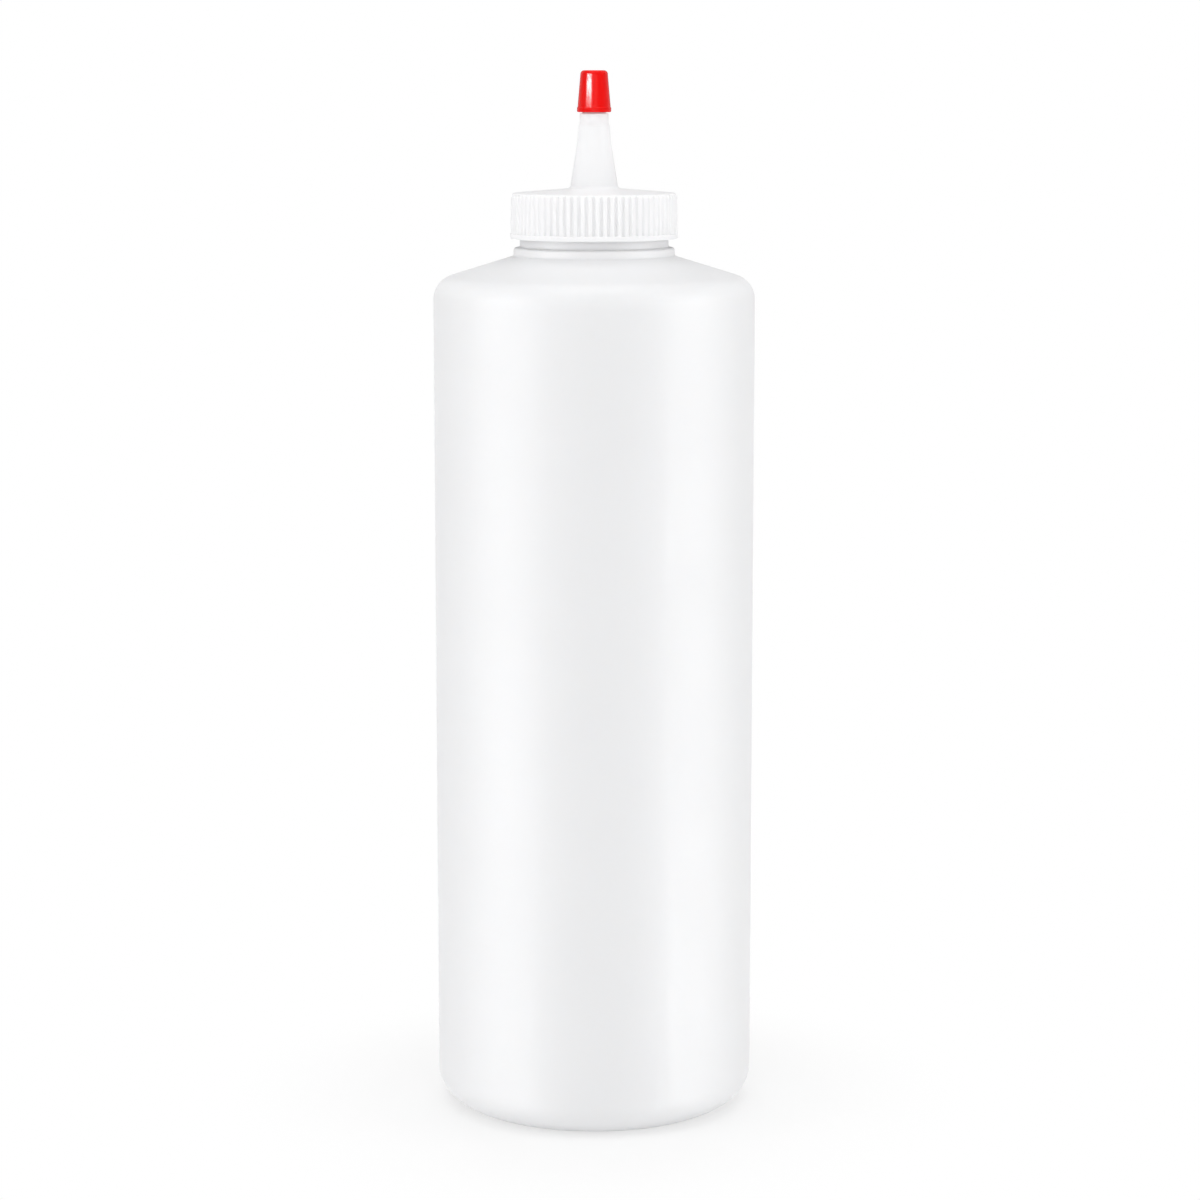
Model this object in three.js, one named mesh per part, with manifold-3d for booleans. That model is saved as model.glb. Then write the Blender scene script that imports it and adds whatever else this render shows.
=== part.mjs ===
// Squeeze bottle for sauces: a blown bottle, a screw-on spout cap with its sealing washer,
// and the small cover that plugs over the end of the spout.
// Millimetres, +Z up. The origin is the centre of the ring that the bottle stands on.
import * as THREE from 'three';
import { mergeVertices } from 'three/addons/utils/BufferGeometryUtils.js';
import Module from 'manifold-3d';

const wasm = await Module();
wasm.setup();

const { degToRad } = THREE.MathUtils;
const fullTurn = 2 * Math.PI;

// Body of the bottle, one blown skin
const bodyRadius = 40;
const bodyHeight = 208.9; // from the table to the sharp corner that wall and shoulder would make
const bodyWall = 1;
const heelRadius = 8.5;
const shoulderRadius = 6.1;
const shoulderSlope = degToRad(17.1);

// Underside: a flat standing ring round a raised panel, with the weld where the mould pinched the tube
const standWidth = 2;
const recessDepth = 3;
const recessAngle = degToRad(50);
const recessFillet = 1.5;
const weldLength = 46;
const weldWidth = 1.4;
const weldHeight = 0.6;
const weldTopShare = 0.4; // width of the weld's top edge against its foot

// Neck: a transfer bead, a plain collar, then the threaded wall up to the lip
const neckRadius = 17.7;
const neckWall = 2.1;
const neckHeight = 10.15; // from the top of the bead to the lip
const collarGap = 0.6; // between the collar and the cap's skirt
const collarHeight = 2.5;
const beadStand = 1.6; // how far the bead stands out past the collar
const beadHeight = 2.1;
const beadFillet = 0.8;
const lipFillet = 0.5;
const neckBlend = 3; // inside, where the bore opens into the shoulder

// Thread: right-hand, six turns to the inch, with one ridge on the neck and one in the cap
const threadPitch = 4.233;
const threadFlank = degToRad(25);
const neckRidgeHeight = 1.05;
const neckRidgeCrest = 0.6;
const neckRidgeTurns = 1.1;
const neckRidgeTop = 1; // bare wall between the lip and the ridge
const capRidgeCrest = 0.5;
const capRidgeTurns = 1.18;
const capRidgeLeadTurns = 0.3; // how far the cap's ridge starts ahead of the neck's
const ridgeRoot = 0.4; // how deep a ridge is rooted in its wall
const ridgeSink = 0.1; // how far its crest dips under the wall where it runs out
const runOutTurns = 0.07;

// Clearances
const fitGap = 0.3; // between pieces that seat on each other
const threadGap = 0.25; // between a ridge's crest and the wall that it faces
const flankGap = 0.3; // between the loaded flanks of the two ridges

// Cap: skirt, deck and spout in one moulding
const skirtWall = 1.2; // at the bottom of the grooves
const skirtDepth = 9.6; // from the seat down to the rim
const skirtDraft = 0.12; // how much wider the ribs stand at the rim than at the deck
const skirtChamfer = 0.4;
const rimHeight = 1.3;
const rimStand = 0.1; // how far the plain rim stands out past the ribs
const ribHeight = 0.38;
const ribCount = 72;
const grooveFootShare = 0.28; // widths against the spacing of the ribs
const grooveMouthShare = 0.56;
const deckThickness = 1.6; // at the sharp corner over the skirt
const deckSlope = degToRad(4.6);
const deckFillet = 1.1;
const deckSkin = 1.5; // thickness at the foot of the spout
const seatWidth = 5.5;

// Spout: a tapered nozzle that steps in twice before the part which the cover plugs over
const spoutFootRadius = 5.95;
const spoutWaistRadius = 4.1;
const spoutShoulderRadius = 3.82;
const spoutNeckRadius = 3.56;
const spoutWall = 1.2;
const spoutFillet = 0.9;
const spoutWaistHeight = 11.8; // the heights are counted from the top of the deck at the spout
const spoutShoulderHeight = 15.3;
const spoutStepHeight = 0.8;
const spoutNeckHeight = 2.2;
const nozzleHeight = 8.7;
const nozzleFillet = 0.3;
const orificeRadius = 1.4;

// Cover over the end of the spout
const coverHeight = 10.2;
const coverFootRadius = 4.08;
const coverTopRadius = 3.3;
const coverWall = 0.85;
const coverFillet = 0.9;
const coverBeadHeight = 1.1;
const coverBeadStand = 0.14;
const coverBeadFillet = 0.3;

// Sealing washer, a foam ring held in the cap above its thread
const washerThickness = 1;
const washerPlay = 0.4; // between the washer's edge and the skirt
const washerWidth = 4.6;

// Fineness of the faces
const around = 60; // faces round the bottle
const aroundCap = ribCount; // one for each rib
const aroundSpout = 36;
const ridgeStepsPerTurn = 36;
const chordError = 0.08; // how far a flat may lie from the arc that it stands for
const overrun = 1; // how far cutting bodies run past what they cut

// Radii and heights that follow
const neckRidgeRadius = neckRadius + neckRidgeHeight;
const skirtInner = neckRidgeRadius + threadGap;
const boreRadius = neckRadius - neckWall;
const collarRadius = skirtInner - collarGap;
const beadRadius = collarRadius + beadStand;
const shoulderRise = (radius) => bodyHeight + (bodyRadius - radius) * Math.tan(shoulderSlope);
const beadBottom = shoulderRise(beadRadius);
const beadTop = beadBottom + beadHeight;
const lipHeight = beadTop + neckHeight;

const capRidgeRadius = neckRadius + threadGap;
const capRidgeHeight = skirtInner - capRidgeRadius;
const grooveRadius = skirtInner + skirtWall;
const ribRadius = grooveRadius + ribHeight;
const rimRadius = ribRadius + skirtDraft + rimStand;
const deckTop = (radius) => deckThickness + (ribRadius - radius) * Math.tan(deckSlope);

const washerBottom = lipHeight + fitGap;
const seatHeight = washerBottom + washerThickness + fitGap;

const nozzleFootRadius = coverFootRadius - coverWall - fitGap;
const nozzleTipRadius = coverTopRadius - coverWall - fitGap;
const spoutFoot = deckTop(spoutFootRadius);
const spoutWaist = spoutFoot + spoutWaistHeight;
const spoutShoulder = spoutFoot + spoutShoulderHeight;
const spoutNeck = spoutShoulder + spoutStepHeight;
const nozzleFoot = spoutNeck + spoutNeckHeight;
const nozzleTip = nozzleFoot + nozzleHeight;

// A corner leaves half of a side to a neighbour that has a fillet too, or else takes the whole side
const roomShare = ([, , fillet = 0]) => (fillet > 0 ? 0.5 : 1);

// An outline in radius and height. Each corner is [radius, height] or [radius, height, fillet],
// and a fillet becomes an arc that is no longer than its two sides leave room for.
function outline(corners) {
  const points = [];
  corners.forEach(([radius, height, fillet = 0], i) => {
    const corner = new THREE.Vector2(radius, height);
    if (fillet === 0) {
      points.push(corner);
      return;
    }
    const before = new THREE.Vector2(...corners[i - 1]).sub(corner);
    const after = new THREE.Vector2(...corners[i + 1]).sub(corner);
    const halfAngle = Math.acos(before.dot(after) / before.length() / after.length()) / 2;
    const roomBefore = before.length() * roomShare(corners[i - 1]);
    const roomAfter = after.length() * roomShare(corners[i + 1]);
    const reach = Math.min(fillet / Math.tan(halfAngle), roomBefore, roomAfter);
    const arcRadius = reach * Math.tan(halfAngle);
    const toCentre = before.clone().normalize().add(after.clone().normalize()).normalize();
    const centre = corner.clone().addScaledVector(toCentre, arcRadius / Math.sin(halfAngle));
    const start = corner.clone().addScaledVector(before.normalize(), reach);
    const turn = Math.PI - 2 * halfAngle;
    const stepAngle = 2 * Math.acos(1 - Math.min(1, chordError / arcRadius));
    const steps = Math.max(2, Math.round(turn / stepAngle));
    const sense = Math.sign(after.cross(before));
    for (let k = 0; k <= steps; k++) {
      points.push(start.clone().rotateAround(centre, (sense * turn * k) / steps));
    }
  });
  return points;
}

// A closed geometry as a solid that can be joined and cut
function solid(geometry) {
  geometry.deleteAttribute('normal');
  geometry.deleteAttribute('uv');
  const merged = mergeVertices(geometry);
  const triangles = [];
  for (let i = 0; i < merged.index.count; i += 3) {
    const [a, b, c] = [0, 1, 2].map((k) => merged.index.getX(i + k));
    if (a !== b && b !== c && c !== a) triangles.push(a, b, c);
  }
  const vertProperties = new Float32Array(merged.attributes.position.array);
  const triVerts = new Uint32Array(triangles);
  return new wasm.Manifold(new wasm.Mesh({ numProp: 3, vertProperties, triVerts }));
}

// A solid turned about Z from the outline of its right-hand half
function revolve(corners, faces) {
  return solid(new THREE.LatheGeometry(outline(corners), faces).rotateX(Math.PI / 2));
}

// A screw ridge wound down a wall from its top end: side is 1 on the outside of a neck and -1 inside
// a cap. A straight bar of the ridge's section is extruded and then wrapped round the wall.
function screwRidge({ wallRadius, side, height, crest, turns, top, topTurn }) {
  const crestHalf = crest / 2;
  const rootHalf = crestHalf + (height + ridgeRoot) * Math.tan(threadFlank);
  const section = new THREE.Shape([
    new THREE.Vector2(-ridgeRoot, -rootHalf),
    new THREE.Vector2(height, -crestHalf),
    new THREE.Vector2(height, crestHalf),
    new THREE.Vector2(-ridgeRoot, rootHalf),
  ]);
  const steps = Math.round(turns * ridgeStepsPerTurn);
  const bar = new THREE.ExtrudeGeometry(section, { depth: turns, steps, bevelEnabled: false });
  const place = bar.attributes.position;
  for (let i = 0; i < place.count; i++) {
    const turned = place.getZ(i);
    const run = Math.min(1, turned / runOutTurns, (turns - turned) / runOutTurns);
    const standing = place.getX(i) > 0 ? (height + ridgeSink) * run - ridgeSink : place.getX(i);
    const angle = (topTurn - turned) * fullTurn;
    const radius = wallRadius + side * standing;
    const level = top - threadPitch * turned + side * place.getY(i);
    place.setXYZ(i, radius * Math.cos(angle), radius * Math.sin(angle), level);
  }
  return solid(bar);
}

// The two ridges lie on one helix, the cap's under the neck's with only the flank gap between them
const ridgeOverlap = neckRidgeRadius - capRidgeRadius;
const neckRidgeHalf = neckRidgeCrest / 2 + neckRidgeHeight * Math.tan(threadFlank);
const neckRidgeStart = lipHeight - neckRidgeTop - neckRidgeHalf;
const ridgeDrop = (neckRidgeCrest + capRidgeCrest) / 2 + ridgeOverlap * Math.tan(threadFlank) + flankGap;
const capRidgeStart = neckRidgeStart - ridgeDrop + capRidgeLeadTurns * threadPitch - seatHeight;

// Bottle: the outside from the middle of the underside up to the lip, then the inside back down
function bottle() {
  const standOuter = bodyRadius - heelRadius;
  const standInner = standOuter - standWidth;
  const panelRadius = standInner - recessDepth / Math.tan(recessAngle);
  const innerRadius = bodyRadius - bodyWall;
  const innerLean = bodyWall * Math.tan(recessAngle / 2);
  const innerDrop = bodyWall / Math.cos(shoulderSlope);
  const skin = [
    [0, recessDepth],
    [panelRadius, recessDepth, recessFillet],
    [standInner, 0],
    [bodyRadius, 0, heelRadius],
    [bodyRadius, bodyHeight, shoulderRadius],
    [beadRadius, beadBottom],
    [beadRadius, beadTop, beadFillet],
    [collarRadius, beadTop],
    [collarRadius, beadTop + collarHeight],
    [neckRadius, beadTop + collarHeight + (collarRadius - neckRadius)],
    [neckRadius, lipHeight, lipFillet],
    [boreRadius, lipHeight, lipFillet],
    [boreRadius, shoulderRise(boreRadius) - innerDrop, neckBlend],
    [innerRadius, shoulderRise(innerRadius) - innerDrop, shoulderRadius - bodyWall],
    [innerRadius, bodyWall, heelRadius - bodyWall],
    [standInner + innerLean, bodyWall],
    [panelRadius + innerLean, recessDepth + bodyWall, recessFillet],
    [0, recessDepth + bodyWall],
  ];
  const ridge = screwRidge({
    wallRadius: neckRadius,
    side: 1,
    height: neckRidgeHeight,
    crest: neckRidgeCrest,
    turns: neckRidgeTurns,
    top: neckRidgeStart,
    topTurn: 0,
  });
  return revolve(skin, around).add(ridge).add(pinchWeld());
}

// The weld stands down from the recessed panel, along the parting plane of the mould
function pinchWeld() {
  const foot = recessDepth + bodyWall / 2;
  const tip = recessDepth - weldHeight;
  const section = new THREE.Shape([
    new THREE.Vector2(-weldWidth / 2, foot),
    new THREE.Vector2((-weldWidth * weldTopShare) / 2, tip),
    new THREE.Vector2((weldWidth * weldTopShare) / 2, tip),
    new THREE.Vector2(weldWidth / 2, foot),
  ]);
  const bar = new THREE.ExtrudeGeometry(section, { depth: weldLength, bevelEnabled: false });
  return solid(bar.translate(0, 0, -weldLength / 2).rotateX(Math.PI / 2).rotateZ(Math.PI / 2));
}

// Spout cap, with its heights counted from the seat under the deck
function spoutCap() {
  const rim = -skirtDepth;
  const cornerRadius = ribRadius + skirtDraft;
  const envelope = [
    [0, rim],
    [cornerRadius, rim],
    [ribRadius, deckTop(ribRadius), deckFillet],
    [spoutFootRadius, spoutFoot],
    [0, spoutFoot],
  ];
  const rimBand = [
    [0, rim],
    [rimRadius, rim],
    [rimRadius, rim + rimHeight],
    [0, rim + rimHeight],
  ];
  const spout = [
    [0, 0],
    [spoutFootRadius + spoutFillet, 0],
    [spoutFootRadius + spoutFillet, spoutFoot - spoutFillet * Math.tan(deckSlope)],
    [spoutFootRadius, spoutFoot, spoutFillet],
    [spoutWaistRadius, spoutWaist],
    [spoutShoulderRadius, spoutShoulder],
    [spoutNeckRadius, spoutNeck],
    [spoutNeckRadius, nozzleFoot],
    [nozzleFootRadius, nozzleFoot],
    [nozzleTipRadius, nozzleTip, nozzleFillet],
    [0, nozzleTip],
  ];
  const inside = [
    [0, rim - overrun],
    [skirtInner + skirtChamfer + overrun, rim - overrun],
    [skirtInner, rim + skirtChamfer],
    [skirtInner, 0],
    [skirtInner - seatWidth, 0],
    [spoutFootRadius, spoutFoot - deckSkin],
    [0, spoutFoot - deckSkin],
  ];
  const boreFoot = spoutFoot - deckSkin - overrun;
  const bore = [
    [0, boreFoot],
    [spoutFootRadius - spoutWall, boreFoot],
    [spoutFootRadius - spoutWall, spoutFoot],
    [spoutWaistRadius - spoutWall, spoutWaist],
    [orificeRadius, nozzleFoot],
    [orificeRadius, nozzleTip + overrun],
    [0, nozzleTip + overrun],
  ];
  const ridge = screwRidge({
    wallRadius: skirtInner,
    side: -1,
    height: capRidgeHeight,
    crest: capRidgeCrest,
    turns: capRidgeTurns,
    top: capRidgeStart,
    topTurn: capRidgeLeadTurns,
  });
  return ribbedPrism(rim)
    .intersect(revolve(envelope, aroundCap))
    .add(revolve(rimBand, aroundCap))
    .add(revolve(spout, aroundSpout))
    .subtract(revolve(inside, aroundCap))
    .subtract(revolve(bore, aroundSpout))
    .add(ridge);
}

// A prism with a groove over every edge of the turned faces, so that each rib has a face of its own
function ribbedPrism(rim) {
  const spacing = fullTurn / ribCount;
  const flare = (grooveMouthShare - grooveFootShare) / ribHeight;
  const footHalf = (grooveFootShare * spacing) / 2;
  const mouthHalf = ((grooveFootShare + flare * (rimRadius - grooveRadius)) * spacing) / 2;
  const ring = [];
  for (let k = 0; k < ribCount; k++) {
    const groove = k * spacing;
    for (const [radius, angle] of [
      [rimRadius, groove - mouthHalf],
      [grooveRadius, groove - footHalf],
      [grooveRadius, groove + footHalf],
      [rimRadius, groove + mouthHalf],
    ]) {
      ring.push(new THREE.Vector2(radius * Math.cos(angle), radius * Math.sin(angle)));
    }
  }
  const height = skirtDepth + spoutFoot + overrun;
  const prism = new THREE.ExtrudeGeometry(new THREE.Shape(ring), { depth: height, bevelEnabled: false });
  return solid(prism.translate(0, 0, rim + rimHeight / 2));
}

// Cover, with its heights counted from its rim. It is open below and closed on top.
function coverTip() {
  const pocketFoot = nozzleFootRadius + fitGap;
  const pocketTip = nozzleTipRadius + fitGap;
  const coverBeadRadius = coverFootRadius + coverBeadStand;
  const shell = [
    [0, nozzleHeight],
    [pocketTip, nozzleHeight],
    [pocketFoot, 0],
    [coverBeadRadius, 0, coverBeadFillet],
    [coverBeadRadius, coverBeadHeight, coverBeadFillet],
    [coverFootRadius, coverBeadHeight + coverBeadStand],
    [coverTopRadius, coverHeight, coverFillet],
    [0, coverHeight],
  ];
  return revolve(shell, aroundSpout);
}

// Washer, with its heights counted from its underside
function washer() {
  const outer = skirtInner - washerPlay;
  const inner = outer - washerWidth;
  const section = [
    [inner, 0],
    [outer, 0],
    [outer, washerThickness],
    [inner, washerThickness],
    [inner, 0],
  ];
  return revolve(section, around);
}

// A solid as a named mesh
function piece(name, body, material) {
  const { vertProperties, triVerts } = body.getMesh();
  const geometry = new THREE.BufferGeometry();
  geometry.setAttribute('position', new THREE.BufferAttribute(new Float32Array(vertProperties), 3));
  geometry.setIndex(new THREE.BufferAttribute(new Uint32Array(triVerts), 1));
  geometry.computeVertexNormals();
  const mesh = new THREE.Mesh(geometry, material);
  mesh.name = name;
  return mesh;
}

// Natural polyethylene is milky and waxy, the cover is the same plastic coloured right through
const naturalBody = new THREE.MeshStandardMaterial({ color: '#eef0f0', roughness: 0.42, metalness: 0 });
const naturalCap = new THREE.MeshStandardMaterial({ color: '#f2f3f3', roughness: 0.38, metalness: 0 });
const redCover = new THREE.MeshStandardMaterial({ color: '#d61f2c', roughness: 0.3, metalness: 0 });
const whiteFoam = new THREE.MeshStandardMaterial({ color: '#f7f7f4', roughness: 0.85, metalness: 0 });

const capAssembly = new THREE.Group();
capAssembly.position.z = seatHeight;
const coverAssembly = new THREE.Group();
coverAssembly.position.z = nozzleFoot + fitGap;
coverAssembly.add(piece('tip_cover', coverTip(), redCover));
capAssembly.add(piece('spout_cap', spoutCap(), naturalCap), coverAssembly);

const sealingWasher = piece('sealing_washer', washer(), whiteFoam);
sealingWasher.position.z = washerBottom;

const squeezeBottle = new THREE.Group();
squeezeBottle.add(piece('bottle', bottle(), naturalBody), sealingWasher, capAssembly);

export default squeezeBottle;
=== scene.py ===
"""The looks of a squeeze bottle for sauces: the blown bottle, its ribbed spout cap, the sealing
washer in the cap and the red cover over the end of the spout, on white in soft studio light."""

import math

import bmesh
import bpy
from bpy.props import FloatProperty, FloatVectorProperty, IntProperty, PointerProperty
from mathutils import Matrix, Vector


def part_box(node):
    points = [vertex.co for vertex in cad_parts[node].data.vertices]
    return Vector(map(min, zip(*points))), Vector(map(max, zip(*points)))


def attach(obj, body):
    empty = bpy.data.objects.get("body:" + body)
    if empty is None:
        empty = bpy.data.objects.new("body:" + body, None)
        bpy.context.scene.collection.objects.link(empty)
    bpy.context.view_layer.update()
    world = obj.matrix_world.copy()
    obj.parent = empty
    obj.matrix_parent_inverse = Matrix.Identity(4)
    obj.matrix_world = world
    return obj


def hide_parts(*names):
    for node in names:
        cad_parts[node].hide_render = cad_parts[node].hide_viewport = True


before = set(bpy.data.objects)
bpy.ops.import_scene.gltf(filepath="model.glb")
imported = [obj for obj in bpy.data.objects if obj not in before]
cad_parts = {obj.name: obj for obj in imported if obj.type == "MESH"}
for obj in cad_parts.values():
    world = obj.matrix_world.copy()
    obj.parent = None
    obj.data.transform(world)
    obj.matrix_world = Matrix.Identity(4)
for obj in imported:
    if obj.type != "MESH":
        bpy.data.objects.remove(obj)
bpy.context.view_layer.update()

bl_info = {
    "name": "Squeeze bottle",
    "version": (1, 0, 0),
    "blender": (4, 5, 0),
    "location": "View3D > Sidebar > Bottle",
    "description": "Builds a sauce bottle with a screw-on spout cap and its white studio",
    "category": "Object",
}

MM = 0.001
FULL_TURN = 2 * math.pi
BOTTLE_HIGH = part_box("bottle")[1]
CAP_LOW, CAP_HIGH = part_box("spout_cap")
COVER_LOW, COVER_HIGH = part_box("tip_cover")
WASHER_LOW, WASHER_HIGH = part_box("sealing_washer")

# Fineness of the meshes
ARC_STEP = math.radians(10)  # turn of one segment in a rounded corner
BOTTLE_COLUMNS = 192
RIB_COLUMNS = 10
SPOUT_COLUMNS = 96
RIDGE_STEPS_PER_TURN = 60
WALL_RINGS = 12
MERGE_DISTANCE = 0.001 * MM
SHARP_ANGLE = math.radians(32)

# Values that more than one piece shares
COVER_GAP = 0.3 * MM  # between the tip of the spout and the cover, all round
POLYETHYLENE_IOR = 1.51

# The studio
CAMERA_ASIDE = 1.45 * MM  # how far the camera stands to the right of the bottle's axis
SENSOR_WIDTH = 36  # in millimetres
BOTTLE_MIDDLE = Vector((0, 0, 0.13))


def colour_of(hex_colour):
    """The linear colour of an sRGB hex value."""
    channels = [int(hex_colour[i : i + 2], 16) / 255 for i in (1, 3, 5)]
    return [c / 12.92 if c <= 0.04045 else ((c + 0.055) / 1.055) ** 2.4 for c in channels]


def length(name, description, millimetres):
    """A length that a user may change, given in millimetres and held in metres."""
    return FloatProperty(
        name=name, description=description, default=millimetres * MM, unit="LENGTH", precision=5
    )


def angle(name, description, degrees):
    """An angle that a user may change."""
    return FloatProperty(
        name=name, description=description, default=math.radians(degrees), unit="ROTATION"
    )


def number(name, description, default):
    """A plain number that a user may change."""
    return FloatProperty(name=name, description=description, default=default)


def colour(name, description, hex_colour):
    """A colour that a user may change."""
    return FloatVectorProperty(
        name=name, description=description, default=colour_of(hex_colour), subtype="COLOR", min=0, max=1
    )


class SQUEEZE_PG_bottle(bpy.types.PropertyGroup):
    """Sizes and colour of the blown bottle."""

    body_radius: length("Body radius", "Radius of the body, on its parting line", BOTTLE_HIGH.x / MM)
    body_height: length("Body height", "Height of the corner that wall and shoulder would make", 208.9)
    wall: length("Wall", "Thickness of the body's wall", 1)
    heel_radius: length("Heel radius", "Rounding between the wall and the standing ring", 8.5)
    shoulder_radius: length("Shoulder radius", "Rounding between the wall and the shoulder", 6.1)
    shoulder_slope: angle("Shoulder slope", "Slope of the shoulder", 17.1)
    stand_width: length("Standing ring", "Width of the flat ring that the bottle stands on", 2)
    recess_depth: length("Recess depth", "How far the base panel is raised off the table", 3)
    recess_angle: angle("Recess angle", "Slope of the wall round the base panel", 50)
    weld_length: length("Weld length", "Length of the pinch weld across the base", 46)
    line_height: length("Parting line", "How far the mould's parting line stands out", 0.05)
    line_width: length("Parting line width", "Width of the mould's parting line", 0.36)
    neck_radius: length("Neck radius", "Radius of the threaded wall", 17.7)
    neck_wall: length("Neck wall", "Thickness of the neck", 2.1)
    collar_stand: length("Collar", "How far the plain collar stands out past the neck", 0.7)
    collar_height: length("Collar height", "Height of the plain collar over the bead", 2.5)
    bead_stand: length("Bead", "How far the transfer bead stands out past the collar", 1.6)
    bead_height: length("Bead height", "Height of the transfer bead", 2.1)
    skin: colour("Skin", "Milky white of the natural polyethylene", "#E5E5E6")


class SQUEEZE_PG_thread(bpy.types.PropertyGroup):
    """Sizes of the screw ridges on the neck and in the cap."""

    pitch: length("Pitch", "Rise of one turn", 4.233)
    flank: angle("Flank", "Slope of the ridge's sides", 25)
    height: length("Ridge height", "How far the ridges stand out of their walls", 1.05)
    neck_crest: length("Neck crest", "Width of the top of the neck's ridge", 0.6)
    cap_crest: length("Cap crest", "Width of the top of the cap's ridge", 0.5)
    neck_turns: number("Neck turns", "Turns of the neck's ridge", 1.1)
    cap_turns: number("Cap turns", "Turns of the cap's ridge", 1.18)
    cap_lead: number("Cap lead", "Turns by which the cap's ridge starts ahead", 0.3)
    top: length("Bare lip", "Bare wall between the lip and the ridge", 1)
    crest_gap: length("Crest gap", "Gap between a ridge's crest and the wall that it faces", 0.25)
    flank_gap: length("Flank gap", "Gap between the two ridges' loaded flanks", 0.3)


class SQUEEZE_PG_cap(bpy.types.PropertyGroup):
    """Sizes and colour of the spout cap."""

    ribs: IntProperty(name="Ribs", description="Gripping ribs round the skirt", default=72, min=12)
    rib_height: length("Rib height", "How deep the grooves between the ribs are", 0.38)
    groove_share: number("Groove share", "Width of a groove's floor against the ribs' spacing", 0.24)
    mouth_share: number("Mouth share", "Width of a groove's mouth against the ribs' spacing", 0.64)
    rim_height: length("Rim height", "Height of the plain band at the rim", 1.3)
    rim_stand: length("Rim", "How far the plain band stands out past the ribs", 0.1)
    skirt_wall: length("Skirt wall", "Thickness of the skirt at the bottom of the grooves", 1.2)
    skirt_depth: length("Skirt depth", "From the seat down to the rim", 9.6)
    skirt_draft: length("Skirt draft", "How much farther out the ribs stand at the rim", 0.12)
    deck_thickness: length("Deck", "Thickness of the deck over the skirt", 1.6)
    deck_slope: angle("Deck slope", "Rise of the deck towards the spout", 4.6)
    deck_rounding: length("Deck edge", "Rounding of the deck's edge", 1.1)
    seat_width: length("Seat", "Width of the flat seat for the washer", 5.5)
    spout_foot: length("Spout foot", "Radius of the spout where it leaves the deck", 5.95)
    spout_waist: length("Spout waist", "Radius of the spout at its waist", 4.1)
    spout_shoulder: length("Spout shoulder", "Radius of the spout under its first step", 3.82)
    spout_neck: length("Spout neck", "Radius of the spout between its two steps", 3.56)
    spout_wall: length("Spout wall", "Thickness of the spout's wall", 1.2)
    orifice: length("Orifice", "Radius of the hole at the end", 1.4)
    skin: colour("Skin", "White of the moulded natural polyethylene", "#EAEAEB")


class SQUEEZE_PG_cover(bpy.types.PropertyGroup):
    """Sizes and colour of the cover over the spout's end."""

    foot_radius: length("Foot radius", "Radius over the bead", 4.08)
    top_radius: length("Top radius", "Radius at the closed end", 3.3)
    wall: length("Wall", "Thickness of the cover's wall", 0.85)
    rounding: length("Rounding", "Rounding of the top's edge", 0.9)
    bead_height: length("Bead height", "Height of the bead at the rim", 1.1)
    bead_stand: length("Bead", "How far the bead stands out", 0.14)
    red: colour("Red", "Colour of the cover", "#F80804")


class SQUEEZE_PG_stage(bpy.types.PropertyGroup):
    """The studio."""

    distance: length("Camera distance", "From the bottle's axis", 815)
    height: length("Camera height", "Over the table", 255)
    tilt: angle("Camera tilt", "How far the camera looks down", 8.82)
    lens: number("Lens", "Focal length in millimetres", 98.06)
    fill: number("Fill", "Brightness of the light from all round, where 1 is white", 0.37)
    background: colour("Background", "Colour of the studio as it is seen", "#FFFFFF")


def lay_profile(bm, corners, closed=False):
    """Draws a wire in the XZ plane through corners (radius, height, rounding) and rounds them."""
    points = [bm.verts.new((radius, 0, height)) for radius, height, _ in corners]
    for start, end in zip(points, points[1:] + points[:1] if closed else points[1:]):
        bm.edges.new((start, end))
    for point, (_, _, rounding) in zip(points, corners):
        if rounding == 0:
            continue
        sides = [edge.other_vert(point).co - point.co for edge in point.link_edges]
        half_angle = sides[0].angle(sides[1]) / 2
        segments = max(2, round((math.pi - 2 * half_angle) / ARC_STEP))
        bmesh.ops.bevel(
            bm,
            geom=[point],
            offset=rounding / math.tan(half_angle),
            offset_type="OFFSET",
            affect="VERTICES",
            segments=segments,
            profile=0.5,
            material=-1,
        )


def spin(bm, geom, turn, steps, **options):
    """Spins geometry about the Z axis and returns what the last step made."""
    spun = bmesh.ops.spin(
        bm, geom=geom, cent=(0, 0, 0), axis=(0, 0, 1), angle=turn, steps=steps, **options
    )
    return spun["geom_last"]


def close_seams(bm):
    """Merges the seams and poles of a spun shape and turns its faces outwards."""
    bmesh.ops.remove_doubles(bm, verts=bm.verts, dist=MERGE_DISTANCE)
    bmesh.ops.recalc_face_normals(bm, faces=bm.faces)


def turned(corners, columns, closed=False):
    """A shape turned about the Z axis from its profile."""
    bm = bmesh.new()
    lay_profile(bm, corners, closed)
    spin(bm, bm.verts[:] + bm.edges[:], FULL_TURN, columns, use_merge=True)
    close_seams(bm)
    return bm


def object_of(bm, name):
    """A new object in the scene that holds a finished bmesh."""
    mesh = bpy.data.meshes.new(name)
    bm.to_mesh(mesh)
    bm.free()
    piece = bpy.data.objects.new(name, mesh)
    bpy.context.scene.collection.objects.link(piece)
    return piece


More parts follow.
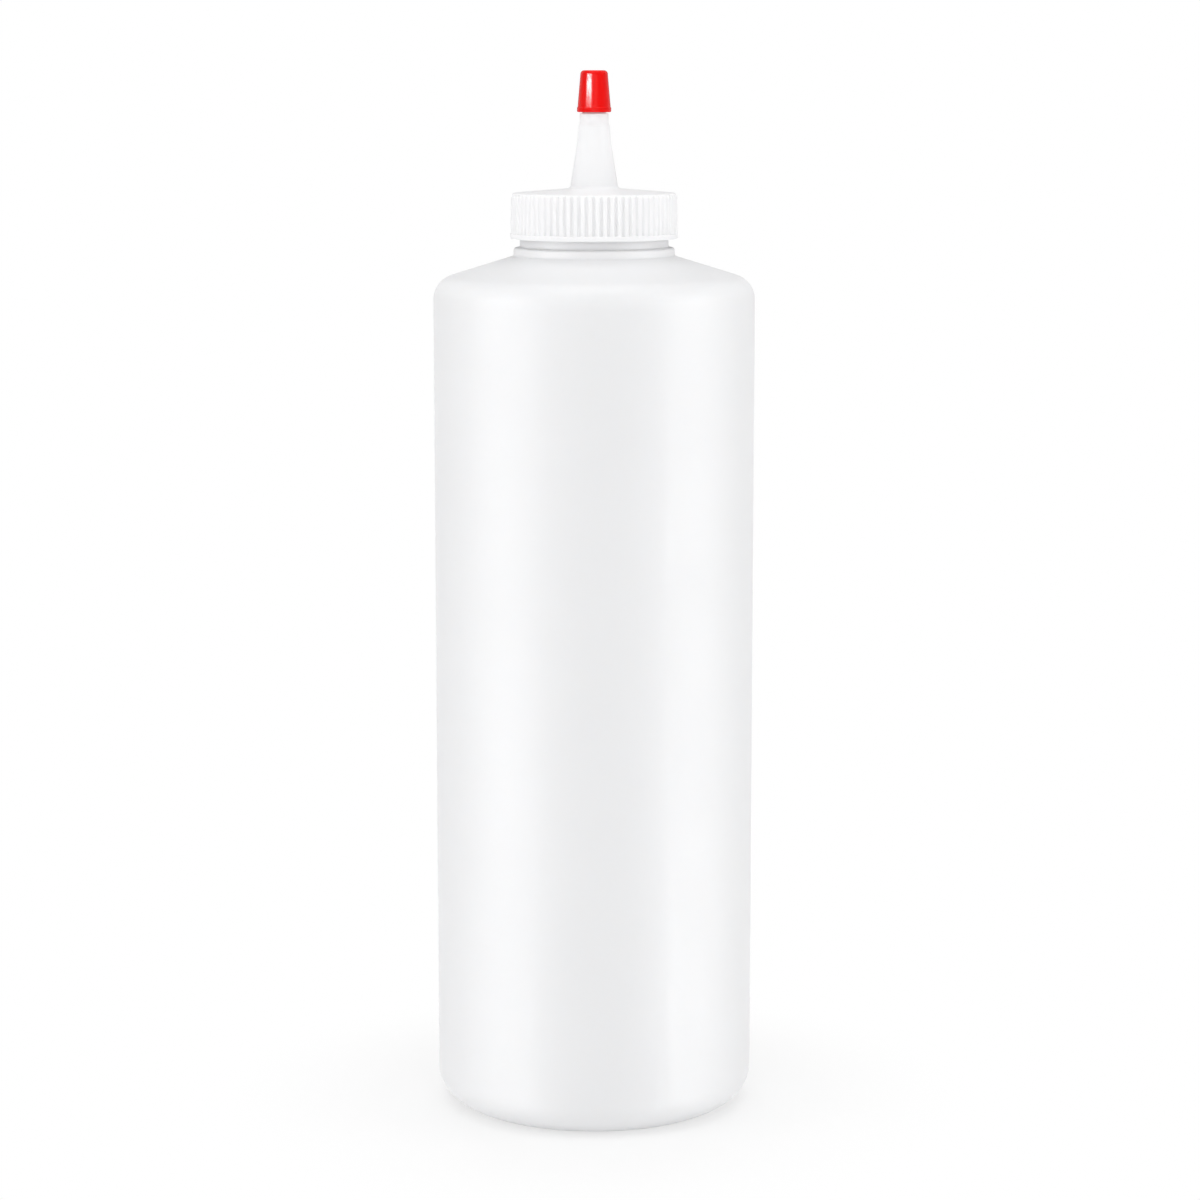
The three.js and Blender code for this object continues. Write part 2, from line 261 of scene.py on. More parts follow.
def unite(piece, tools):
    """Joins closed shapes to a piece with an exact Boolean, applied, and removes the tools."""
    for tool in tools:
        joint = piece.modifiers.new(tool.name, "BOOLEAN")
        joint.object, joint.operation, joint.solver = tool, "UNION", "EXACT"
    apart = piece.data
    evaluated = piece.evaluated_get(bpy.context.evaluated_depsgraph_get())
    piece.data = bpy.data.meshes.new_from_object(evaluated)
    piece.data.name = apart.name
    piece.modifiers.clear()
    for mesh in [apart] + [tool.data for tool in tools]:
        bpy.data.meshes.remove(mesh)
    bm = bmesh.new()
    bm.from_mesh(piece.data)
    bmesh.ops.dissolve_degenerate(bm, edges=bm.edges, dist=2 * MERGE_DISTANCE)
    bm.to_mesh(piece.data)
    bm.free()


def dress(piece, body, node, material):
    """Smooths a finished piece, gives it its material and ties it to the frame."""
    piece.data.shade_smooth()
    piece.data.set_sharp_from_angle(angle=SHARP_ANGLE)
    piece.data.materials.clear()
    piece.data.materials.append(material)
    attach(piece, body)
    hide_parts(node)


def shoulder_rise(size, radius):
    """Height of the shoulder's outer side at a radius."""
    return size.body_height + (size.body_radius - radius) * math.tan(size.shoulder_slope)


def neck_ridge_start(thread):
    """Height of the top end of the neck's ridge, at the middle of its width."""
    half = thread.neck_crest / 2 + thread.height * math.tan(thread.flank)
    return BOTTLE_HIGH.z - thread.top - half


def cap_ridge_start(thread):
    """Height of the top end of the cap's ridge, which lies under the neck's ridge when it is closed."""
    crests = (thread.neck_crest + thread.cap_crest) / 2
    overlap = thread.height - thread.crest_gap
    drop = crests + overlap * math.tan(thread.flank) + thread.flank_gap
    return neck_ridge_start(thread) - drop + thread.cap_lead * thread.pitch


def screw_ridge(name, thread, wall_radius, side, crest, turns, top, lead=0):
    """A screw ridge wound down a wall: side is 1 outside a neck and -1 inside a cap. Both of its ends
    sink into the wall."""
    root = 0.4 * MM  # how deep its foot stands in the wall
    sink = 0.1 * MM  # how far under the wall's face its ends sink
    run_out = 0.09  # turns over which it rises from each end
    rounding = 0.18 * MM
    root_half = crest / 2 + (thread.height + root) * math.tan(thread.flank)
    rooted, crested = wall_radius - side * root, wall_radius + side * thread.height
    bm = bmesh.new()
    lay_profile(
        bm,
        [
            (rooted, top - root_half, 0),
            (crested, top - crest / 2, rounding),
            (crested, top + crest / 2, rounding),
            (rooted, top + root_half, 0),
        ],
        closed=True,
    )
    steps = round(turns * RIDGE_STEPS_PER_TURN)
    drop = Vector((0, 0, -thread.pitch * turns / steps))
    first = bm.edges[:]
    last = spin(bm, bm.verts[:] + first, -turns * FULL_TURN, steps, dvec=drop)
    for ring in first, [part for part in last if isinstance(part, bmesh.types.BMEdge)]:
        bmesh.ops.contextual_create(bm, geom=ring)
    for vert in bm.verts:
        radius = vert.co.xy.length
        by_angle = -math.atan2(vert.co.y, vert.co.x) / FULL_TURN
        wound = by_angle + round((top - vert.co.z) / thread.pitch - by_angle)
        run = max(0, min(1, wound / run_out, (turns - wound) / run_out))
        standing = side * (radius - wall_radius)
        if standing > 0:
            standing -= (1 - run) * (thread.height + sink)
            vert.co.xy *= (wall_radius + side * max(standing, -root / 2)) / radius
    bmesh.ops.rotate(bm, verts=bm.verts, matrix=Matrix.Rotation(lead * FULL_TURN, 3, "Z"))
    bmesh.ops.recalc_face_normals(bm, faces=bm.faces)
    return object_of(bm, name)


def add_node(tree, kind, inputs=None, **settings):
    """Adds a node with its settings. An input that is given a socket is linked, any other is set."""
    node = tree.nodes.new(kind)
    for name, value in settings.items():
        setattr(node, name, value)
    for name, value in (inputs or {}).items():
        if isinstance(value, bpy.types.NodeSocket):
            tree.links.new(value, node.inputs[name])
        else:
            node.inputs[name].default_value = value
    return node


def new_material(name):
    """An empty node material."""
    material = bpy.data.materials.new(name)
    material.use_nodes = True
    material.node_tree.nodes.clear()
    return material, material.node_tree


def end_in_principled(tree, inputs):
    """Ends a material in one principled shader with these inputs."""
    shader = add_node(tree, "ShaderNodeBsdfPrincipled", inputs)
    add_node(tree, "ShaderNodeOutputMaterial", {"Surface": shader.outputs["BSDF"]})


def blown_polyethylene(skin):
    """Natural LDPE, blown against a satin mould. It is milky and lets light into its thin wall, its
    skin is waxy and soft in gloss, the die draws fine lines down it, and its tone drifts a little
    where the wall is thicker."""
    material, tree = new_material("Blown natural LDPE")
    place = add_node(tree, "ShaderNodeTexCoord").outputs["Object"]
    # die lines about 1.5 mm apart that run the height of the bottle
    lines_at = add_node(tree, "ShaderNodeMapping", {"Vector": place, "Scale": (650, 650, 6)})
    lines = add_node(
        tree, "ShaderNodeTexNoise", {"Vector": lines_at.outputs["Vector"], "Scale": 1, "Detail": 3}
    )
    # the wall's slow unevenness, 25 mm from hill to hill, and 3 percent darker on the hills
    drift = add_node(tree, "ShaderNodeTexNoise", {"Vector": place, "Scale": 40, "Detail": 1})
    darker = [channel * 0.97 for channel in skin]
    milk = add_node(
        tree,
        "ShaderNodeMix",
        {"Factor": drift.outputs["Fac"], "A": (*skin, 1), "B": (*darker, 1)},
        data_type="RGBA",
    )
    relief = add_node(
        tree, "ShaderNodeBump", {"Height": lines.outputs["Fac"], "Strength": 0.5, "Distance": 0.01 * MM}
    )
    satin = add_node(
        tree, "ShaderNodeMapRange", {"Value": drift.outputs["Fac"], "To Min": 0.5, "To Max": 0.56}
    )
    end_in_principled(
        tree,
        {
            "Base Color": milk.outputs["Result"],
            "Roughness": satin.outputs["Result"],
            "IOR": POLYETHYLENE_IOR,
            "Specular IOR Level": 0.7,
            "Subsurface Weight": 0.6,
            "Subsurface Radius": (1, 0.95, 0.9),
            "Subsurface Scale": 2 * MM,
            "Normal": relief.outputs["Normal"],
        },
    )
    return material


def moulded_polyethylene(skin):
    """Natural LDPE, injection moulded. It is as milky as the bottle but thicker, so whiter, with much
    the same soft gloss, and faint flow marks across it."""
    material, tree = new_material("Moulded natural LDPE")
    place = add_node(tree, "ShaderNodeTexCoord").outputs["Object"]
    # flow marks, 8 mm apart
    flow = add_node(
        tree, "ShaderNodeTexNoise", {"Vector": place, "Scale": 125, "Detail": 3, "Distortion": 0.6}
    )
    satin = add_node(
        tree, "ShaderNodeMapRange", {"Value": flow.outputs["Fac"], "To Min": 0.46, "To Max": 0.54}
    )
    relief = add_node(
        tree, "ShaderNodeBump", {"Height": flow.outputs["Fac"], "Strength": 0.3, "Distance": 0.02 * MM}
    )
    end_in_principled(
        tree,
        {
            "Base Color": (*skin, 1),
            "Roughness": satin.outputs["Result"],
            "IOR": POLYETHYLENE_IOR,
            "Subsurface Weight": 0.5,
            "Subsurface Radius": (1, 0.97, 0.95),
            "Subsurface Scale": 1 * MM,
            "Normal": relief.outputs["Normal"],
        },
    )
    return material


def glossy_red_polyethylene(red):
    """LDPE coloured right through and moulded in polished steel. It is a clear warm red that glows a
    little in its thin wall, with a wet gloss that a faint orange peel breaks up."""
    material, tree = new_material("Glossy red LDPE")
    place = add_node(tree, "ShaderNodeTexCoord").outputs["Object"]
    # orange peel, 1 mm from hill to hill
    peel = add_node(tree, "ShaderNodeTexNoise", {"Vector": place, "Scale": 1000, "Detail": 1})
    relief = add_node(
        tree, "ShaderNodeBump", {"Height": peel.outputs["Fac"], "Strength": 0.4, "Distance": 0.005 * MM}
    )
    end_in_principled(
        tree,
        {
            "Base Color": (*red, 1),
            "Roughness": 0.18,
            "IOR": POLYETHYLENE_IOR,
            "Specular IOR Level": 0.12,
            "Subsurface Weight": 0.2,
            "Subsurface Radius": (1, 0.1, 0.05),
            "Subsurface Scale": 0.6 * MM,
            "Normal": relief.outputs["Normal"],
        },
    )
    return material


def white_foam():
    """Closed-cell polyethylene foam, die cut. It is chalky and dull, and its cells pit it."""
    material, tree = new_material("Closed-cell PE foam")
    place = add_node(tree, "ShaderNodeTexCoord").outputs["Object"]
    # cells of 0.4 mm
    cells = add_node(tree, "ShaderNodeTexVoronoi", {"Vector": place, "Scale": 2500})
    relief = add_node(
        tree,
        "ShaderNodeBump",
        {"Height": cells.outputs["Distance"], "Strength": 0.6, "Distance": 0.05 * MM},
    )
    end_in_principled(
        tree,
        {
            "Base Color": (*colour_of("#F7F7F4"), 1),
            "Roughness": 0.85,
            "IOR": 1.5,
            "Normal": relief.outputs["Normal"],
        },
    )
    return material


class SQUEEZE_OT_bottle(bpy.types.Operator):
    """Blow the bottle, with its parting line, screw ridge and pinch weld"""

    bl_idname = "squeeze.bottle"
    bl_label = "Bottle"

    def execute(self, context):
        size, thread = context.scene.squeeze_bottle, context.scene.squeeze_thread
        bm = bmesh.new()
        lay_profile(bm, self.skin_corners(size))
        self.ring_walls(bm, size)
        self.spin_skin(bm, size)
        close_seams(bm)
        self.raise_parting_line(bm, size)
        bottle = object_of(bm, "blown_bottle")
        ridge = screw_ridge(
            "neck_ridge",
            thread,
            wall_radius=size.neck_radius,
            side=1,
            crest=thread.neck_crest,
            turns=thread.neck_turns,
            top=neck_ridge_start(thread),
        )
        unite(bottle, [ridge, self.pinch_weld(size)])
        dress(bottle, "bottle", "bottle", blown_polyethylene(size.skin))
        return {"FINISHED"}

    def skin_corners(self, size):
        """Outside from the middle of the base up to the lip, then the inside back down."""
        body = size.body_radius - size.line_height
        stand_outer = body - size.heel_radius
        stand_inner = stand_outer - size.stand_width
        panel = stand_inner - size.recess_depth / math.tan(size.recess_angle)
        lean = size.wall * math.tan(size.recess_angle / 2)
        drop = size.wall / math.cos(size.shoulder_slope)
        inner = body - size.wall
        bore = size.neck_radius - size.neck_wall
        collar = size.neck_radius + size.collar_stand
        bead = collar + size.bead_stand
        bead_bottom = shoulder_rise(size, bead)
        bead_top = bead_bottom + size.bead_height
        collar_top = bead_top + size.collar_height
        lip = BOTTLE_HIGH.z
        return [
            (0, size.recess_depth, 0),
            (panel, size.recess_depth, 1.5 * MM),
            (stand_inner, 0, 0.6 * MM),
            (stand_outer + size.heel_radius, 0, size.heel_radius),
            (body, size.body_height, size.shoulder_radius),
            (bead, bead_bottom, 0.45 * MM),
            (bead, bead_top, 0.8 * MM),
            (collar, bead_top, 0.35 * MM),
            (collar, collar_top, 0.25 * MM),
            (size.neck_radius, collar_top + size.collar_stand, 0.3 * MM),
            (size.neck_radius, lip, 0.5 * MM),
            (bore, lip, 0.5 * MM),
            (bore, shoulder_rise(size, bore) - drop, 3 * MM),
            (inner, shoulder_rise(size, inner) - drop, size.shoulder_radius - size.wall),
            (inner, size.wall, size.heel_radius - size.wall),
            (stand_inner + lean, size.wall, 0.6 * MM),
            (panel + lean, size.recess_depth + size.wall, 1.5 * MM),
            (0, size.recess_depth + size.wall, 0),
        ]

    def ring_walls(self, bm, size):
        """Cuts the two long walls of the profile into even lengths."""
        walls = [edge for edge in bm.edges if edge.calc_length() > size.body_height / 2]
        bmesh.ops.subdivide_edges(bm, edges=walls, cuts=WALL_RINGS)

    def spin_skin(self, bm, size):
        """Spins the skin in stretches, with close columns on the parting line at each side."""
        half_line = size.line_width / 2 / size.body_radius
        half_turn = [(half_line, 1), (math.pi - 2 * half_line, BOTTLE_COLUMNS // 2), (half_line, 1)]
        edge = bm.verts[:] + bm.edges[:]
        for turn, steps in half_turn * 2:
            edge = spin(bm, edge, turn, steps)

    def raise_parting_line(self, bm, size):
        """Lifts the columns in the mould's parting plane off the outside of the skin."""
        least_outward = 0.15  # the part of a normal that points away from the axis
        bm.normal_update()
        for vert in bm.verts:
            faces_out = vert.normal.x * vert.co.x > least_outward * abs(vert.co.x)
            if abs(vert.co.y) < MERGE_DISTANCE and faces_out:
                vert.co += vert.normal * size.line_height

    def pinch_weld(self, size):
        """The weld where the mould pinched the tube shut, a low bar under the base panel."""
        width, depth, rounding = 1.4 * MM, 1.1 * MM, 0.2 * MM
        middle = size.recess_depth - 0.05 * MM
        taper = (0.99, 0.4, 1)  # length and width of the lower edge against the foot
        bm = bmesh.new()
        bmesh.ops.create_cube(bm, size=1)
        tip = [vert for vert in bm.verts if vert.co.z < 0]
        bmesh.ops.scale(bm, vec=taper, verts=tip)
        bmesh.ops.scale(bm, vec=(size.weld_length, width, depth), verts=bm.verts)
        bmesh.ops.translate(bm, vec=(0, 0, middle), verts=bm.verts)
        low = [edge for edge in bm.edges if all(vert in tip for vert in edge.verts)]
        bmesh.ops.bevel(
            bm, geom=low, offset=rounding, segments=3, profile=0.5, affect="EDGES", material=-1
        )
        return object_of(bm, "pinch_weld")


class SQUEEZE_OT_cap(bpy.types.Operator):
    """Mould the spout cap, with its ribbed skirt, deck, screw ridge and spout"""

    bl_idname = "squeeze.cap"
    bl_label = "Spout cap"

    def execute(self, context):
        size, thread = context.scene.squeeze_cap, context.scene.squeeze_thread
        bottle, cover = context.scene.squeeze_bottle, context.scene.squeeze_cover
        inner = bottle.neck_radius + thread.height + thread.crest_gap
        bm = bmesh.new()
        lay_profile(bm, self.section_corners(size, cover, inner), closed=True)
        pitch = FULL_TURN / size.ribs
        spin(bm, bm.verts[:] + bm.edges[:], pitch, RIB_COLUMNS)
        self.press_groove(bm, size, inner, pitch)
        self.widen_columns(bm, inner, pitch)
        wedge = bm.verts[:] + bm.edges[:] + bm.faces[:]
        spin(bm, wedge, FULL_TURN - pitch, size.ribs - 1, use_duplicate=True)
        close_seams(bm)
        cap = object_of(bm, "ribbed_spout_cap")
        ridge = screw_ridge(
            "cap_ridge",
            thread,
            wall_radius=inner,
            side=-1,
            crest=thread.cap_crest,
            turns=thread.cap_turns,
            top=cap_ridge_start(thread),
            lead=thread.cap_lead,
        )
        unite(cap, [ridge])
        dress(cap, "cap", "spout_cap", moulded_polyethylene(size.skin))
        return {"FINISHED"}

    def section_corners(self, size, cover, inner):
        """The cap's section: up the outside from the rim, over the spout, and down the inside."""
        rim = CAP_LOW.z
        seat = rim + size.skirt_depth
        chamfer = 0.4 * MM
        rib = inner + size.skirt_wall + size.rib_height
        rib_at_rim = rib + size.skirt_draft
        band = rib_at_rim + size.rim_stand

        def deck(radius):
            return seat + size.deck_thickness + (rib - radius) * math.tan(size.deck_slope)

        foot = deck(size.spout_foot)
        under = foot - 1.5 * MM  # underside of the deck
        waist, shoulder = foot + 11.8 * MM, foot + 15.3 * MM
        neck = shoulder + 0.8 * MM
        nozzle = neck + 2.2 * MM
        tip = CAP_HIGH.z
        clear = cover.wall + COVER_GAP
        return [
            (band, rim, 0.3 * MM),
            (band, rim + size.rim_height, 0.05 * MM),
            (rib_at_rim, rim + size.rim_height, 0),
            (rib, deck(rib), size.deck_rounding),
            (size.spout_foot, foot, 0.9 * MM),
            (size.spout_waist, waist, 3 * MM),
            (size.spout_shoulder, shoulder, 0.3 * MM),
            (size.spout_neck, neck, 0.3 * MM),
            (size.spout_neck, nozzle, 0.15 * MM),
            (cover.foot_radius - clear, nozzle, 0.12 * MM),
            (cover.top_radius - clear, tip, 0.3 * MM),
            (size.orifice, tip, 0.2 * MM),
            (size.orifice, nozzle, 2 * MM),
            (size.spout_waist - size.spout_wall, waist, 3 * MM),
            (size.spout_foot - size.spout_wall, foot, 0),
            (size.spout_foot - size.spout_wall, under, 0.3 * MM),
            (size.spout_foot, under, 0.3 * MM),
            (inner - size.seat_width, seat, 0.3 * MM),
            (inner, seat, 0.25 * MM),
            (inner, rim + chamfer, 0.15 * MM),
            (inner + chamfer, rim, 0.1 * MM),
        ]

    def press_groove(self, bm, size, inner, pitch):
        """Presses the groove into one rib's wedge, over its two edges, up into the deck's edge."""
        floor = inner + size.skirt_wall
        crest = floor + size.rib_height + size.skirt_draft
        above_band = CAP_LOW.z + size.rim_height - MERGE_DISTANCE
        foot, mouth = size.groove_share * pitch / 2, size.mouth_share * pitch / 2
        for vert in bm.verts:
            radius, turn = vert.co.xy.length, math.atan2(vert.co.y, vert.co.x)
            off = min(abs(turn), abs(turn - pitch))
            flank = max(0, min(1, (off - foot) / (mouth - foot)))
            limit = floor + (crest - floor) * flank**2 * (3 - 2 * flank)
            if vert.co.z > above_band and limit < radius < crest + MERGE_DISTANCE:
                vert.co.xy *= limit / radius

    def widen_columns(self, bm, inner, pitch):
        """Leaves the close columns on the ribs only, and one column for each rib everywhere else."""
        ribbed_from = inner + 0.45 * MM
        margin = 0.01 * pitch

        def is_spare(edge):
            turns = [math.atan2(vert.co.y, vert.co.x) for vert in edge.verts]
            runs_along = abs(turns[0] - turns[1]) < margin
            inside_wedge = margin < turns[0] < pitch - margin
            radius = min(vert.co.xy.length for vert in edge.verts)
            return runs_along and inside_wedge and radius < ribbed_from

        spare = [edge for edge in bm.edges if is_spare(edge)]
        bmesh.ops.dissolve_edges(bm, edges=spare, use_verts=True)


class SQUEEZE_OT_washer(bpy.types.Operator):
    """Cut the foam washer that seals the cap on the lip"""

    bl_idname = "squeeze.washer"
    bl_label = "Sealing washer"

    def execute(self, context):
        ring_width, rounding = 4.6 * MM, 0.12 * MM
        outer, low, high = WASHER_HIGH.x, WASHER_LOW.z, WASHER_HIGH.z
        inner = outer - ring_width
        section = (inner, low), (outer, low), (outer, high), (inner, high)
        corners = [(radius, height, rounding) for radius, height in section]
        washer = object_of(turned(corners, BOTTLE_COLUMNS // 2, closed=True), "foam_washer")
        dress(washer, "seal", "sealing_washer", white_foam())
        return {"FINISHED"}


class SQUEEZE_OT_cover(bpy.types.Operator):
    """Mould the red cover that plugs over the end of the spout"""

    bl_idname = "squeeze.cover"
    bl_label = "Tip cover"

    def execute(self, context):
        size = context.scene.squeeze_cover
        rim, top = COVER_LOW.z, COVER_HIGH.z
        pocket = CAP_HIGH.z + COVER_GAP
        bead = size.foot_radius + size.bead_stand
        gate, dimple = 0.7 * MM, 0.12 * MM  # radius and depth of the gate mark
        corners = [
            (0, pocket, 0),
            (size.top_radius - size.wall, pocket, 0.3 * MM),
            (size.foot_radius - size.wall, rim, 0.15 * MM),
            (bead, rim, 0.3 * MM),
            (bead, rim + size.bead_height, 0.12 * MM),
            (size.foot_radius, rim + size.bead_height + size.bead_stand, 0.12 * MM),
            (size.top_radius, top, size.rounding),
            (gate, top, 0.1 * MM),
            (gate, top - dimple, 0.05 * MM),
            (0, top - dimple, 0),
        ]
        cover = object_of(turned(corners, SPOUT_COLUMNS), "red_tip_cover")
        dress(cover, "tip", "tip_cover", glossy_red_polyethylene(size.red))
        return {"FINISHED"}


class SQUEEZE_OT_stage(bpy.types.Operator):
    """Set up the white table, the studio's light and the camera"""

    bl_idname = "squeeze.stage"
    bl_label = "Studio"

    def execute(self, context):
        scene = context.scene
        size = scene.squeeze_stage
        scene.view_settings.view_transform = "Standard"
        self.place_camera(scene, size)
        self.light_world(scene, size)
        self.lay_table(size)
        self.light_bottle()
        self.hang_gloss_cards()
        self.light_cap()
        self.raise_flag()
        return {"FINISHED"}

    def place_camera(self, scene, size):
        """The photograph's camera: level with the spout's tip and looking down at the bottle."""
        lens = bpy.data.cameras.new("camera")
        lens.sensor_width, lens.lens = SENSOR_WIDTH, size.lens
        camera = bpy.data.objects.new("camera", lens)
        camera.location = (CAMERA_ASIDE, -size.distance, size.height)
        camera.rotation_euler = (math.pi / 2 - size.tilt, 0, 0)
        scene.collection.objects.link(camera)
        scene.camera = camera

    def seen(self, tree):
        """1 for rays that see the studio, straight or in gloss or glass, and 0 for all others."""
        rays = add_node(tree, "ShaderNodeLightPath").outputs
        seen = rays["Is Camera Ray"]
        for kind in ("Is Glossy Ray", "Is Transmission Ray"):
            seen = add_node(
                tree, "ShaderNodeMath", {0: seen, 1: rays[kind]}, operation="MAXIMUM"
            ).outputs[0]
        return seen

    def light_world(self, scene, size):
        """An even studio that is white where it is seen and dimmer where it lights."""
        world = bpy.data.worlds.new("studio")
        world.use_nodes = True
        tree = world.node_tree
        tree.nodes.clear()
        level = add_node(
            tree, "ShaderNodeMapRange", {"Value": self.seen(tree), "To Min": size.fill, "To Max": 1}
        )
        backdrop = add_node(
            tree,
            "ShaderNodeBackground",
            {"Color": (*size.background, 1), "Strength": level.outputs["Result"]},
        )
        add_node(tree, "ShaderNodeOutputWorld", {"Surface": backdrop.outputs["Background"]})
        scene.world = world

    def lay_table(self, size):
        """A white table that keeps the bottle's shadow and melts into the studio round it. Its glow is
        weaker near the bottle, which paints a faint shade round the base on top of the real shadow, and
        rises to white where the shadow fades out.
        """
        shadow_reach, white_from = 0.036, 0.1  # distances from the bottle's axis
        shadow_card, shadow_glow = "#A4A4A4", 0.575  # they add up to white where no shadow falls
        bm = bmesh.new()
        bmesh.ops.create_grid(bm, x_segments=1, y_segments=1, size=3)
        table = object_of(bm, "table")
        material, tree = new_material("Matt white card")
        seen = self.seen(tree)
        place = add_node(tree, "ShaderNodeTexCoord").outputs["Object"]
        reach = add_node(tree, "ShaderNodeVectorMath", {0: place}, operation="LENGTH").outputs["Value"]
        away = add_node(
            tree,
            "ShaderNodeMapRange",
            {"Value": reach, "From Min": shadow_reach, "From Max": white_from},
            interpolation_type="SMOOTHSTEP",
        ).outputs["Result"]
        shade = add_node(
            tree,
            "ShaderNodeMix",
            {"Factor": away, "A": (*colour_of(shadow_card), 1), "B": (0, 0, 0, 1)},
            data_type="RGBA",
        )
        card = add_node(
            tree,
            "ShaderNodeMix",
            {"Factor": seen, "A": (*colour_of("#F0F0F0"), 1), "B": shade.outputs["Result"]},
            data_type="RGBA",
        )
        matt = add_node(tree, "ShaderNodeBsdfDiffuse", {"Color": card.outputs["Result"]})
        # painted shade: the glow is shadow_glow by the bottle and rises to 1 at white_from, so the
        # floor is a little greyer round the base wherever light falls, and the shadow fades out where
        # the glow reaches 1
        level = add_node(tree, "ShaderNodeMapRange", {"Value": away, "To Min": shadow_glow})
        strength = add_node(
            tree, "ShaderNodeMath", {0: level.outputs["Result"], 1: seen}, operation="MULTIPLY"
        )
        glow = add_node(
            tree,
            "ShaderNodeEmission",
            {"Color": (*size.background, 1), "Strength": strength.outputs[0]},
        )
        both = add_node(
            tree, "ShaderNodeAddShader", {0: matt.outputs["BSDF"], 1: glow.outputs["Emission"]}
        )
        add_node(tree, "ShaderNodeOutputMaterial", {"Surface": both.outputs["Shader"]})
        table.data.materials.append(material)
        table.visible_glossy = table.visible_shadow = False

    def light_bottle(self):
        """The lamps for the whole bottle: a strip at each side, and fills in front, behind and above.
        The strips and the rear fill don't show in gloss, and the strips spare the cover."""
        for side, azimuth in (("left", -74), ("right", 79)):
            strip = self.softbox(
                side + "_strip",
                BOTTLE_MIDDLE,
                azimuth,
                rise=0,
                distance=0.9,
                width=0.42,
                height=1.1,
                level=2.3,
            )
            strip.visible_glossy = False
            self.keep_off(strip, "red_tip_cover")
        fills = (
            # name, azimuth, rise, height, level
            ("front_fill", 0, 12, 1, 1.42),
            ("back_fill", 180, 22, 1, 1.5),
            ("top_fill", 0, 84, 1.2, 2.2),
        )
        for name, azimuth, rise, height, level in fills:
            fill = self.softbox(
                name, BOTTLE_MIDDLE, azimuth, rise, distance=1.3, width=1.2, height=height, level=level
            )
            fill.visible_glossy = name != "back_fill"

    def hang_gloss_cards(self):
        """Cards that only show in gloss: a broad sheen down each side of the bottle, and a short glint
        on the cover."""
        for side, azimuth in (("left", -63), ("right", 70)):
            sheen = self.softbox(
                side + "_sheen",
                BOTTLE_MIDDLE,
                azimuth,
                rise=0,
                distance=0.9,
                width=0.75,
                height=1.6,
                level=3.2,
            )
            self.show_only_on(sheen, "blown_bottle")
        glint = self.softbox(
            "cover_glint",
            COVER_LOW + Vector((0, 0, 10.8 * MM)),
            azimuth=-38,
            rise=10,
            distance=40 * MM,
            width=31 * MM,
            height=4 * MM,
            level=160,
        )
        self.show_only_on(glint, "red_tip_cover")

    def light_cap(self):
        """A weak fill that lights the cap and nothing else."""
        fill = self.softbox(
            "cap_fill", CAP_LOW, azimuth=0, rise=8, distance=0.6, width=0.5, height=0.3, level=0.3
        )
        self.light_only(fill, "ribbed_spout_cap")

    def light_only(self, lamp, piece):
        """Makes a lamp light one piece and nothing else."""
        receivers = bpy.data.collections.new(lamp.name + "_receivers")
        receivers.objects.link(bpy.data.objects[piece])
        lamp.light_linking.receiver_collection = receivers

    def show_only_on(self, card, piece):
        """Makes a card show in the gloss of one piece and light nothing."""
        card.visible_diffuse = False
        self.light_only(card, piece)

    def keep_off(self, lamp, piece):
        """Makes a lamp light all but one piece."""
        self.light_only(lamp, piece)
        spared = lamp.light_linking.receiver_collection.collection_objects[0]
        spared.light_linking.link_state = "EXCLUDE"

    def raise_flag(self):
        """A black flag behind the bottle that only shows in gloss. It keeps the shoulder's far sides
        and the outline of the wall from washing out in the front view."""
        width, height = 0.6, 0.9
        centre = Vector((0, 0.6, 0.62))
        bm = bmesh.new()
        bmesh.ops.create_grid(bm, x_segments=1, y_segments=1, size=0.5)
        bmesh.ops.rotate(bm, verts=bm.verts, matrix=Matrix.Rotation(math.pi / 2, 3, "X"))
        bmesh.ops.scale(bm, vec=(width, 1, height), verts=bm.verts)
        bmesh.ops.translate(bm, vec=centre, verts=bm.verts)
        flag = object_of(bm, "flag")
        material, tree = new_material("Black felt")
        felt = add_node(tree, "ShaderNodeEmission", {"Color": (*colour_of("#303030"), 1)})
        add_node(tree, "ShaderNodeOutputMaterial", {"Surface": felt.outputs["Emission"]})
        flag.data.materials.append(material)
        flag.visible_camera = flag.visible_transmission = False
        flag.visible_diffuse = flag.visible_shadow = False

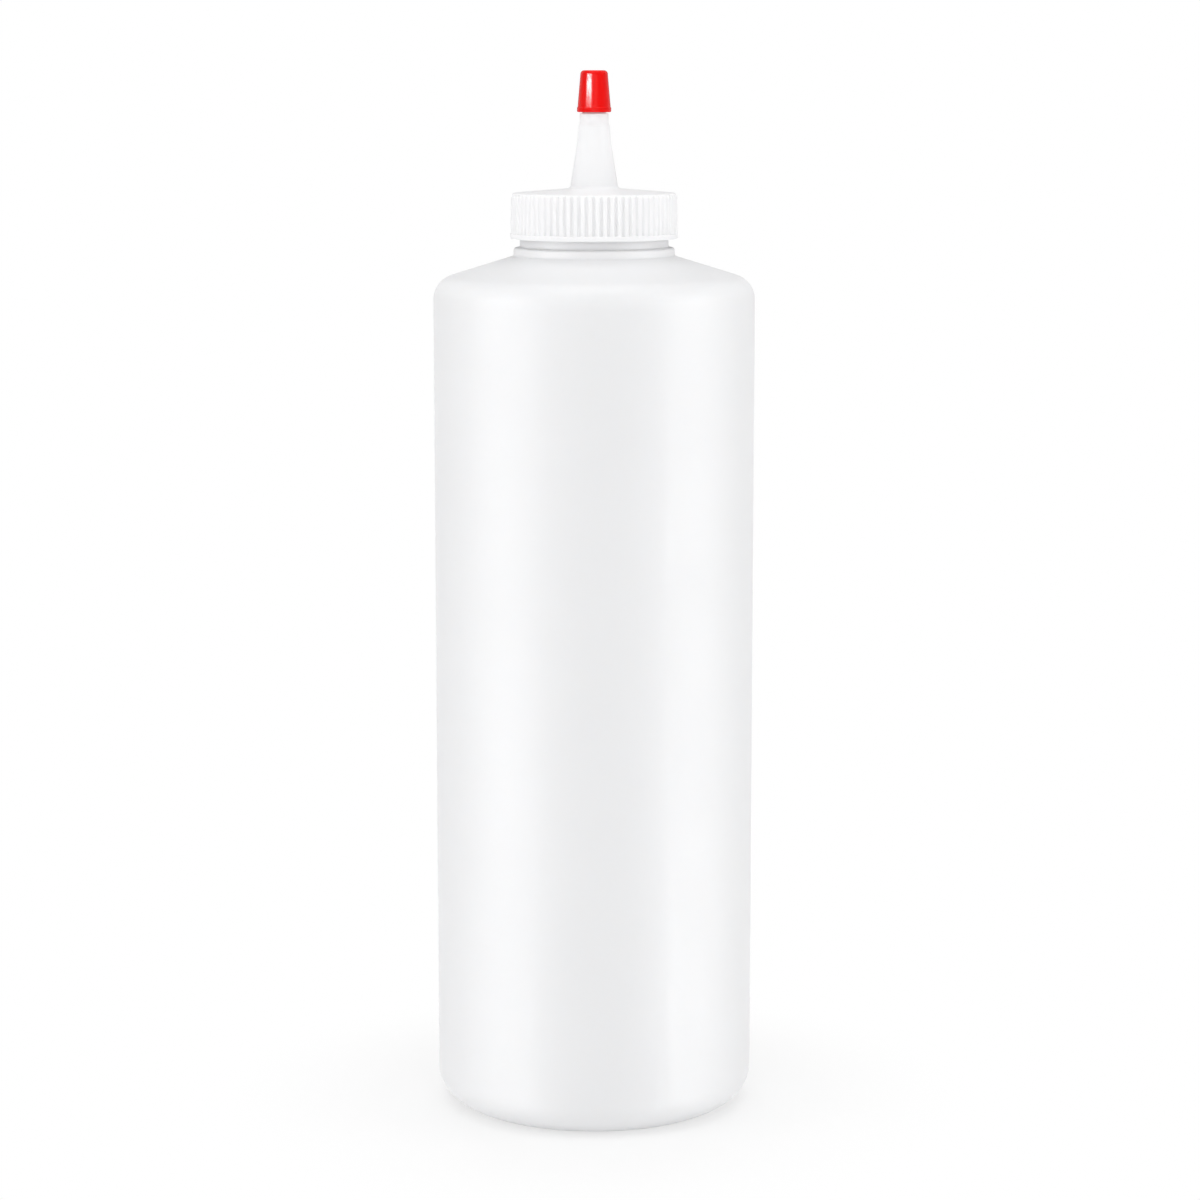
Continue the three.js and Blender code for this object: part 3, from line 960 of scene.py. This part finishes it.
    def softbox(self, name, aim, azimuth, rise, distance, width, height, level):
        """A soft lamp that faces a point. Azimuth is counted from the camera's side, to the right, and
        level is its brightness, where 1 is white."""
        lamp = bpy.data.lights.new(name, "AREA")
        lamp.shape = "RECTANGLE"
        lamp.size, lamp.size_y = width, height
        lamp.energy = level * math.pi * width * height
        box = bpy.data.objects.new(name, lamp)
        across, up = math.radians(azimuth), math.radians(rise)
        level_part = math.cos(up)
        away = Vector((math.sin(across) * level_part, -math.cos(across) * level_part, math.sin(up)))
        box.location = Vector(aim) + away * distance
        box.rotation_euler = away.to_track_quat("Z", "Y").to_euler()
        box.visible_camera = False
        bpy.context.scene.collection.objects.link(box)
        return box


class SQUEEZE_PT_sidebar(bpy.types.Panel):
    """Lists the pieces' operators and their sizes"""

    bl_idname = "SQUEEZE_PT_sidebar"
    bl_label = "Squeeze bottle"
    bl_space_type = "VIEW_3D"
    bl_region_type = "UI"
    bl_category = "Bottle"

    def draw(self, context):
        for operator, group in STEPS:
            box = self.layout.box()
            box.operator(operator.bl_idname)
            if group:
                settings = getattr(context.scene, group)
                for name in settings.__annotations__:
                    box.prop(settings, name)


SETTINGS = {
    "squeeze_bottle": SQUEEZE_PG_bottle,
    "squeeze_thread": SQUEEZE_PG_thread,
    "squeeze_cap": SQUEEZE_PG_cap,
    "squeeze_cover": SQUEEZE_PG_cover,
    "squeeze_stage": SQUEEZE_PG_stage,
}
STEPS = (
    (SQUEEZE_OT_bottle, "squeeze_bottle"),
    (SQUEEZE_OT_cap, "squeeze_cap"),
    (SQUEEZE_OT_washer, None),
    (SQUEEZE_OT_cover, "squeeze_cover"),
    (SQUEEZE_OT_stage, "squeeze_stage"),
)
CLASSES = (*SETTINGS.values(), *[operator for operator, _ in STEPS], SQUEEZE_PT_sidebar)


def register():
    for cls in CLASSES:
        bpy.utils.register_class(cls)
    for name, group in SETTINGS.items():
        setattr(bpy.types.Scene, name, PointerProperty(type=group))


def unregister():
    for name in SETTINGS:
        delattr(bpy.types.Scene, name)
    for cls in reversed(CLASSES):
        bpy.utils.unregister_class(cls)


def main():
    """Builds the pieces and the studio."""
    register()
    bpy.ops.squeeze.bottle()
    bpy.ops.squeeze.cap()
    bpy.ops.squeeze.washer()
    bpy.ops.squeeze.cover()
    bpy.ops.squeeze.stage()


if __name__ == "__main__":
    main()
